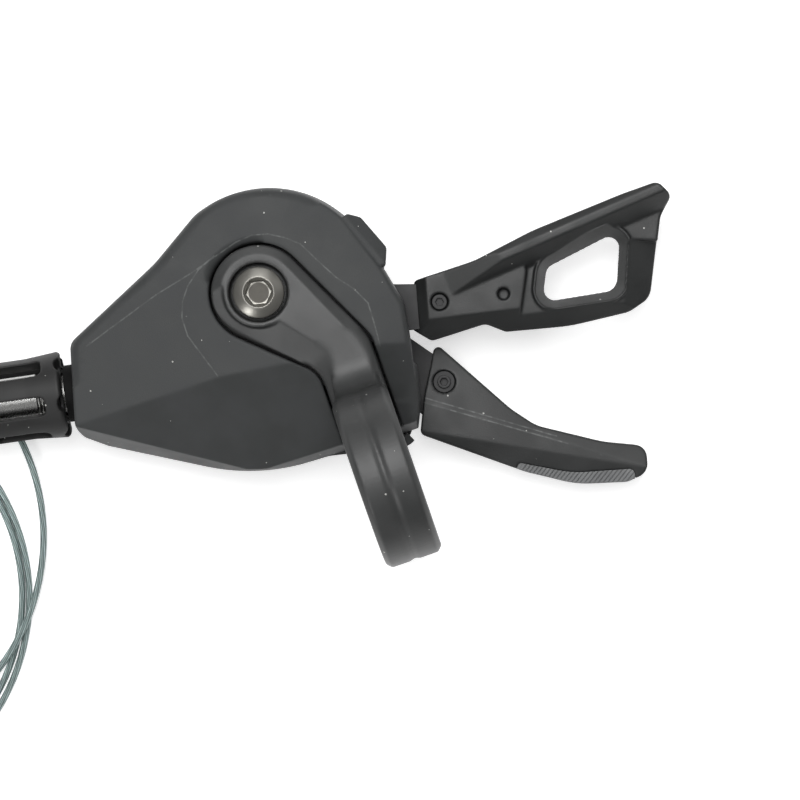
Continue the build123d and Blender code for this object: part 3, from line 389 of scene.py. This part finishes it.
# Black oxide of the lever plates and screws; on the steel base plate the same finish is painted shade in the gap.
black_oxide_and_gap_shade = moulded("black_oxide_and_gap_shade", (0.014, 0.014, 0.015), (0.020, 0.020, 0.021), (0.48, 0.58), 3600, 2e-5, 2e-4,
                      0.05, 0.3, 0.45)
# Near-black finish standing in as painted shade on the adjuster's neck, in the gap by the knob.
neck_painted_shade = moulded("neck_painted_shade", (0.004, 0.004, 0.004), (0.006, 0.006, 0.006), (0.70, 0.80), 3600, 2e-5, 2e-4,
                    0.0, 0.3, 0.15)
print("moulded finishes made")

# %% [markdown]
# ## Bare metal
# Screws, ratchets, springs and bushes are steel or brass. Turned and rolled metal shows fine streaks, so
# a noise stretched along one axis changes its roughness, and the same streaks make a very shallow bump. The
# metal inside the clamp bolt's socket is painted darker, as painted shade in the recess.

# %% Metal finish
SOCKET_SHADE_TONE = (0.035, 0.033, 0.029)
SOCKET_SHADE_FADE = 2e-4


def metal(name, tone, rough, streak, edge_r=2e-4, metallic=1.0, socket_r=0.0):
    """Bare metal: colour, roughness range, streaks, edge radius; a socket on the plan's axis is painted dark as shade.
    """
    material = bpy.data.materials.new(name)
    material.use_nodes = True
    tree = material.node_tree
    surface = tree.nodes["Principled BSDF"]
    surface.inputs["Metallic"].default_value = metallic
    place = add(tree, "ShaderNodeTexCoord").outputs["Object"]
    stretch = add(tree, "ShaderNodeMapping")
    stretch.inputs["Scale"].default_value = (1.0, 1.0, streak)
    tree.links.new(place, stretch.inputs["Vector"])
    skin = group_node(tree, grain, stretch.outputs["Vector"])
    skin.inputs["Scale"].default_value = 1800
    colour = mix(tree, skin.outputs["Tone"], tuple(0.86 * c for c in tone), tone)
    # Painted shade: the metal is darker inside the bolt's socket.
    if socket_r:
        away = vectors(tree, "SUBTRACT", place, tuple(spot(0, 0, 0))).outputs["Vector"]
        across = vectors(tree, "MULTIPLY", away, (1.0, 1.0, 0.0)).outputs["Vector"]
        apart = vectors(tree, "LENGTH", across).outputs["Value"]
        socket_shade = ramp(tree, maths(tree, "SUBTRACT", socket_r, apart), 0.0, SOCKET_SHADE_FADE)
        colour = mix(tree, socket_shade, colour, SOCKET_SHADE_TONE)
    tree.links.new(colour, surface.inputs["Base Color"])
    gloss = add(tree, "ShaderNodeMapRange")
    gloss.inputs["To Min"].default_value, gloss.inputs["To Max"].default_value = rough
    tree.links.new(skin.outputs["Height"], gloss.inputs["Value"])
    tree.links.new(gloss.outputs["Result"], surface.inputs["Roughness"])
    rounded = add(tree, "ShaderNodeBevel", samples=6)
    rounded.inputs["Radius"].default_value = edge_r
    relief = add(tree, "ShaderNodeBump", Strength=0.2, Distance=1e-5)
    tree.links.new(skin.outputs["Height"], relief.inputs["Height"])
    tree.links.new(rounded.outputs["Normal"], relief.inputs["Normal"])
    tree.links.new(relief.outputs["Normal"], surface.inputs["Normal"])
    return material


bolt_bright = metal("bolt_nickel", (0.25, 0.243, 0.222), (0.26, 0.38), 6.0, 3e-4, 0.85, 0.0019)
barrel_steel = metal("barrel_steel", (0.50, 0.50, 0.49), (0.22, 0.32), 8.0)
plate_steel = metal("plate_steel", (0.42, 0.42, 0.41), (0.30, 0.45), 3.0)
spring_wire = metal("spring_wire", (0.52, 0.52, 0.50), (0.24, 0.36), 3.0)
bush_brass = metal("bush_brass", (0.70, 0.52, 0.24), (0.26, 0.40), 4.0)
print("metal finishes made")

# %% [markdown]
# ## Stranded wire
# The cable's outer layer is a dozen thin wires laid in a helix. The curve's own UV map runs along and
# around it, so stripes that count both coordinates wind round the cable as the wires do. They bump the
# surface, and the grooves between the wires are painted darker as painted shade.

# %% Cable finish
LAY_TURNS, OUTER_WIRES = 450, 10
wire_skin = bpy.data.materials.new("stranded_wire")
wire_skin.use_nodes = True
wire_tree = wire_skin.node_tree
wire_face = wire_tree.nodes["Principled BSDF"]
wire_face.inputs["Metallic"].default_value = 0.75
across = add(wire_tree, "ShaderNodeSeparateXYZ")
wire_tree.links.new(add(wire_tree, "ShaderNodeTexCoord").outputs["UV"], across.inputs["Vector"])
along_turns = maths(wire_tree, "MULTIPLY", across.outputs["X"], LAY_TURNS * 2 * math.pi)
round_wires = maths(wire_tree, "MULTIPLY", across.outputs["Y"], OUTER_WIRES * 2 * math.pi)
ridge = maths(wire_tree, "SINE", maths(wire_tree, "ADD", along_turns, round_wires))
# Painted shade: the grooves between the wires get the dark tone, the crowns the light one.
wire_tree.links.new(mix(wire_tree, ramp(wire_tree, ridge, -1.0, 0.4), (0.10, 0.14, 0.14), (0.36, 0.44, 0.43)),
                    wire_face.inputs["Base Color"])
wire_gloss = add(wire_tree, "ShaderNodeMapRange")
wire_gloss.inputs["To Min"].default_value, wire_gloss.inputs["To Max"].default_value = 0.46, 0.34
wire_tree.links.new(ridge, wire_gloss.inputs["Value"])
wire_tree.links.new(wire_gloss.outputs["Result"], wire_face.inputs["Roughness"])
wire_bump = add(wire_tree, "ShaderNodeBump", Strength=0.5, Distance=8e-5)
wire_tree.links.new(ridge, wire_bump.inputs["Height"])
wire_tree.links.new(wire_bump.outputs["Normal"], wire_face.inputs["Normal"])
cable.data.materials.append(wire_skin)
print("cable finish made")

# %% [markdown]
# ## Every node gets its finish
# The record names a material slot for each node. The slots already say what the piece is made of, so the
# finishes are handed out by slot. Three nodes differ: the adjuster's neck and the base plate get near-black
# finishes as painted shade, so the gaps read black, and the adjuster's bolt is bright.

# %% Hand out the finishes
FINISHES = {"cover_plastic": cover_skin, "lever_plastic": lever_skin, "knob_plastic": knob_skin,
            "grip_rubber": pad_painted_light, "band_paint": band_skin, "steel": plate_steel, "bolt_steel": bolt_bright,
            "black_steel": black_oxide_and_gap_shade, "spring_steel": spring_wire, "brass": bush_brass,
            "drum_plastic": drum_skin, "cable_steel": wire_skin}
slot_of = {part["node"]: part["material_slot"] for part in frame["record"]["subparts"]}
for name, node in nodes.items():
    node.data.materials.clear()
    node.data.materials.append(FINISHES[slot_of[name]])
# Painted shade: the adjuster's neck gets the near-black finish.
nodes["adjuster_insert"].data.materials[0] = neck_painted_shade
# Painted shade: the steel base plate gets the near-black finish so the gap under the cover reads black.
nodes["base_plate"].data.materials[0] = black_oxide_and_gap_shade
nodes["adjuster_bolt"].data.materials[0] = barrel_steel
print(len(nodes), "nodes finished")

# %% [markdown]
# ## Moulded edges
# A mould leaves no sharp edge: covers, levers and the cast clamp are softly rounded all over. The CAD solids
# keep crisp edges. Each of these pieces is therefore copied, its loose triangles are welded, and a fine
# remesh with a few smoothing steps rounds every edge and hollow by a fraction of a millimetre. Decimate then
# takes away the points that flat faces don't need. The copy stands for the node.
#
# Three cutters come first. They slope the flat rim of the clamp's lug, the arm's right side and the release
# lever's right end, as the casting and the moulding have them.

# %% Cutters
LUG_TOP = 1.0


def slope_cutter(start, end, level, pitch):
    """A block that rests on a line of the plan and falls away to the right of it."""
    first, last = spot(*start, level), spot(*end, level)
    bpy.ops.object.select_all(action="DESELECT")
    bpy.ops.mesh.primitive_cube_add(size=0.03)
    block = bpy.context.object
    bpy.ops.object.mode_set(mode="EDIT")
    bpy.ops.transform.resize(value=((last - first).length / 0.03, 1, 1))
    bpy.ops.transform.translate(value=(0, -0.015, 0.015))
    bpy.ops.object.mode_set(mode="OBJECT")
    block.location = (first + last) / 2
    block.rotation_euler = (math.radians(pitch), 0, math.atan2(last.y - first.y, last.x - first.x))
    return block


def lug_cutter(r, width, first_angle, turn):
    """A ring sector with a sloping underside, which turns the lug's flat rim into a cone."""
    heart = spot(0, 0, LUG_TOP)
    lean = math.radians(first_angle)
    reach = (r + width / 2) / 1000
    bpy.ops.object.select_all(action="DESELECT")
    bpy.ops.mesh.primitive_plane_add(size=width / 1000, rotation=(math.pi / 2, 0, lean),
                                     location=heart + Vector((reach * math.cos(lean), reach * math.sin(lean), 0.0002)))
    sector = bpy.context.object
    inner_low = min(range(4), key=lambda i: tuple(round(c, 6) for c in sector.data.vertices[i].co))
    bpy.ops.object.mode_set(mode="EDIT")
    bpy.ops.mesh.select_mode(type="VERT")
    bpy.ops.mesh.select_all(action="DESELECT")
    bpy.ops.object.mode_set(mode="OBJECT")
    sector.data.vertices[inner_low].select = True
    bpy.ops.object.mode_set(mode="EDIT")
    bpy.ops.transform.translate(value=(0, 0, width / 2000 - 0.0002))
    bpy.ops.mesh.select_all(action="SELECT")
    bpy.ops.mesh.spin(steps=72, angle=-math.radians(turn), center=heart, axis=(0, 0, 1))
    bpy.ops.mesh.select_all(action="SELECT")
    bpy.ops.mesh.remove_doubles(threshold=1e-7)
    bpy.ops.mesh.normals_make_consistent(inside=False)
    bpy.ops.object.mode_set(mode="OBJECT")
    return sector


lug_rim = lug_cutter(6.5, 3.6, 21, 149)
arm_fall = slope_cutter((16.1, -7.3), (4.5, 4.77), LUG_TOP, 24)
lever_fall = slope_cutter((63.3, -6.0), (64.4, 9.6), -8.8, 22)
print("cutters", [c.name for c in (lug_rim, arm_fall, lever_fall)])


# %% Round the moulded pieces
def plan_of(point):
    """A point of the frame, in metres, as a point of the housing's plan, in mm."""
    away = 1000 * point - PLAN_ZERO
    return Vector((away.x * math.cos(PLAN_TURN) + away.y * math.sin(PLAN_TURN),
                   away.y * math.cos(PLAN_TURN) - away.x * math.sin(PLAN_TURN), away.z))


def apply_modifiers(piece):
    for modifier in list(piece.modifiers):
        bpy.ops.object.modifier_apply(modifier=modifier.name)


def rub_soft(piece, test, repeats):
    """Smooth the points of a piece that pass a test, as with a smoothing brush."""
    bpy.ops.object.mode_set(mode="EDIT")
    bpy.ops.mesh.select_mode(type="VERT")
    bpy.ops.mesh.select_all(action="DESELECT")
    bpy.ops.object.mode_set(mode="OBJECT")
    for vertex in piece.data.vertices:
        vertex.select = test(plan_of(vertex.co), vertex.normal)
    bpy.ops.object.mode_set(mode="EDIT")
    for _ in range(4):
        bpy.ops.mesh.select_more()
    bpy.ops.mesh.vertices_smooth(factor=0.5, repeat=repeats)
    bpy.ops.object.mode_set(mode="OBJECT")


def rounded_copy(name, body, voxel, steps, keep, cutters=(), soft_spot=None):
    """A softly rounded copy of a CAD node that stands for it."""
    bpy.ops.object.select_all(action="DESELECT")
    piece = bpy.data.objects.new(name + "_moulded", nodes[name].data.copy())
    scene.collection.objects.link(piece)
    bpy.context.view_layer.objects.active = piece
    piece.select_set(True)
    bpy.ops.mesh.customdata_custom_splitnormals_clear()
    weld = piece.modifiers.new("weld", "WELD")
    weld.merge_threshold = 1e-6
    for cutter in cutters:
        cut = piece.modifiers.new("cut", "BOOLEAN")
        cut.object = cutter
    fine_skin = piece.modifiers.new("fine_skin", "REMESH")
    fine_skin.mode = "VOXEL"
    fine_skin.voxel_size = voxel
    soft = piece.modifiers.new("soft", "SMOOTH")
    soft.factor, soft.iterations = 0.5, steps
    apply_modifiers(piece)
    if soft_spot:
        rub_soft(piece, *soft_spot)
    lighter = piece.modifiers.new("lighter", "DECIMATE")
    lighter.ratio = keep
    apply_modifiers(piece)
    bpy.ops.object.shade_smooth()
    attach(piece, body)
    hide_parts(name)
    print(piece.name, len(piece.data.polygons), "faces")


def on_outer_rim(place, normal):
    return 0.8 * place.y - 0.6 * place.x > 7 and place.z > -4 and 0.15 < normal.z < 0.93


KNEE = plan_of(Vector((0.0, 0.0165, -0.0045)))


def at_knee(place, normal):
    return (place - KNEE).length < 9 and place.z > -2


rounded_copy("upper_cover", "housing", 2.2e-4, 5, 0.3, soft_spot=(on_outer_rim, 120))
rounded_copy("clamp_band", "housing", 2.2e-4, 6, 0.3, cutters=(lug_rim, arm_fall), soft_spot=(at_knee, 45))
rounded_copy("release_lever_cover", "release_lever", 1.8e-4, 8, 0.35, cutters=(lever_fall,))
rounded_copy("main_lever_cover", "main_lever", 1.8e-4, 8, 0.35)
rounded_copy("adjuster_knob", "adjuster_barrel", 1.6e-4, 8, 0.35)
for cutter in (lug_rim, arm_fall, lever_fall):
    bpy.data.objects.remove(cutter)

# %% [markdown]
# ## Clamp bolt
# The clamp bolt has a low round head with a hexagon socket. The head is a cylinder cut by a large sphere,
# so that its crown stays shallow right to the rim. A cone and a six-sided prism then sink the socket, and
# the shank is joined on below.

# %% Bolt
def add_tool(piece, tool, operation):
    """Join, cut or keep with a second solid, which is used up."""
    step = piece.modifiers.new("step", "BOOLEAN")
    step.operation = operation
    step.object = tool
    bpy.ops.object.select_all(action="DESELECT")
    bpy.context.view_layer.objects.active = piece
    piece.select_set(True)
    bpy.ops.object.modifier_apply(modifier=step.name)
    bpy.data.objects.remove(tool)


CROWN_R, CROWN_TOP = 8.5, 1.5
HEAD_R, SOCKET_R, SHANK_R = 0.00445, 0.0023, 0.0025
bpy.ops.object.select_all(action="DESELECT")
bpy.ops.mesh.primitive_cylinder_add(vertices=128, radius=HEAD_R, depth=0.004, location=spot(0, 0, 0.0))
bolt = bpy.context.object
bolt.name = "clamp_bolt_turned"
bpy.ops.mesh.primitive_uv_sphere_add(segments=192, ring_count=96, radius=CROWN_R / 1000,
                                     location=spot(0, 0, CROWN_TOP - CROWN_R))
add_tool(bolt, bpy.context.object, "INTERSECT")
bpy.ops.mesh.primitive_cylinder_add(vertices=6, radius=SOCKET_R, depth=0.006, location=spot(0, 0, 1.7),
                                    rotation=(0, 0, 0.3))
add_tool(bolt, bpy.context.object, "DIFFERENCE")
bpy.ops.mesh.primitive_cone_add(vertices=96, radius1=0.0018, radius2=0.0029, depth=0.0011, location=spot(0, 0, 0.8))
add_tool(bolt, bpy.context.object, "DIFFERENCE")
bpy.ops.mesh.primitive_cylinder_add(vertices=64, radius=SHANK_R, depth=0.0124, location=spot(0, 0, -7.9))
add_tool(bolt, bpy.context.object, "UNION")
bpy.ops.object.select_all(action="DESELECT")
bolt.select_set(True)
bpy.context.view_layer.objects.active = bolt
bpy.ops.object.transform_apply(location=True, rotation=True, scale=True)
bpy.ops.object.shade_smooth_by_angle(angle=math.radians(20))
bolt.data.materials.clear()
bolt.data.materials.append(bolt_bright)
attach(bolt, "housing")
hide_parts("clamp_bolt")
print("bolt", len(bolt.data.polygons), "faces")

# %% [markdown]
# ## Floor and light
# A wide pale floor carries the shadow. A large soft box hangs above, a second one stands behind, and two
# small ones at the left and right draw the bright crescents on the bolt. An even pale world fills in. The
# floor glows a little for rays that look at it or mirror it, so that it reads as white paper without more
# light on the object.

# %% Floor
bpy.ops.object.select_all(action="DESELECT")
bpy.ops.mesh.primitive_plane_add(size=8, location=(0, 0, FLOOR))
floor = bpy.context.object
floor.name = "paper_floor"
paper = bpy.data.materials.new("white_paper")
paper.use_nodes = True
paper_tree = paper.node_tree
sheet = paper_tree.nodes["Principled BSDF"]
sheet.inputs["Roughness"].default_value = 0.9
sheet.inputs["Specular IOR Level"].default_value = 0.1
fibre = group_node(paper_tree, grain, add(paper_tree, "ShaderNodeTexCoord").outputs["Object"])
fibre.inputs["Scale"].default_value = 900
paper_tree.links.new(mix(paper_tree, fibre.outputs["Tone"], (0.88, 0.88, 0.88), (0.90, 0.90, 0.90)),
                     sheet.inputs["Base Color"])
rays = add(paper_tree, "ShaderNodeLightPath")
seen = maths(paper_tree, "MAXIMUM", rays.outputs["Is Camera Ray"], rays.outputs["Is Glossy Ray"])
seen = maths(paper_tree, "MAXIMUM", seen, rays.outputs["Is Transmission Ray"])
sheet.inputs["Emission Color"].default_value = (1, 1, 1, 1)
paper_tree.links.new(maths(paper_tree, "MULTIPLY", seen, 0.5), sheet.inputs["Emission Strength"])
floor.data.materials.append(paper)
print("floor at", round(FLOOR, 4))

# %% Lamps and world
LAMPS = [("box_above", (0.0, 0.24, 0.76), 0.48, 4.9), ("box_back", (0.20, 0.58, 0.50), 0.50, 0.9),
         ("box_left", (-0.42, -0.30, 0.42), 0.17, 1.0), ("box_right", (0.55, 0.10, 0.45), 0.35, 0.15)]


def soft_box(name, place, size, power):
    """A square soft box that faces the housing."""
    lamp = bpy.data.objects.new(name, bpy.data.lights.new(name, "AREA"))
    scene.collection.objects.link(lamp)
    lamp.data.size = size
    lamp.data.energy = power
    lamp.location = place
    lamp.rotation_euler = (Vector((0, 0.02, 0)) - Vector(place)).to_track_quat("-Z", "Y").to_euler()


for lamp_values in LAMPS:
    soft_box(*lamp_values)
world = bpy.data.worlds.new("studio")
scene.world = world
world.use_nodes = True
backdrop = world.node_tree.nodes["Background"]
backdrop.inputs["Color"].default_value = (1, 1, 1, 1)
backdrop.inputs["Strength"].default_value = 0.25
scene.view_settings.view_transform = "Standard"

# %% [markdown]
# ## Finish
# The view layer is brought up to date.

# %% Finish
bpy.context.view_layer.update()
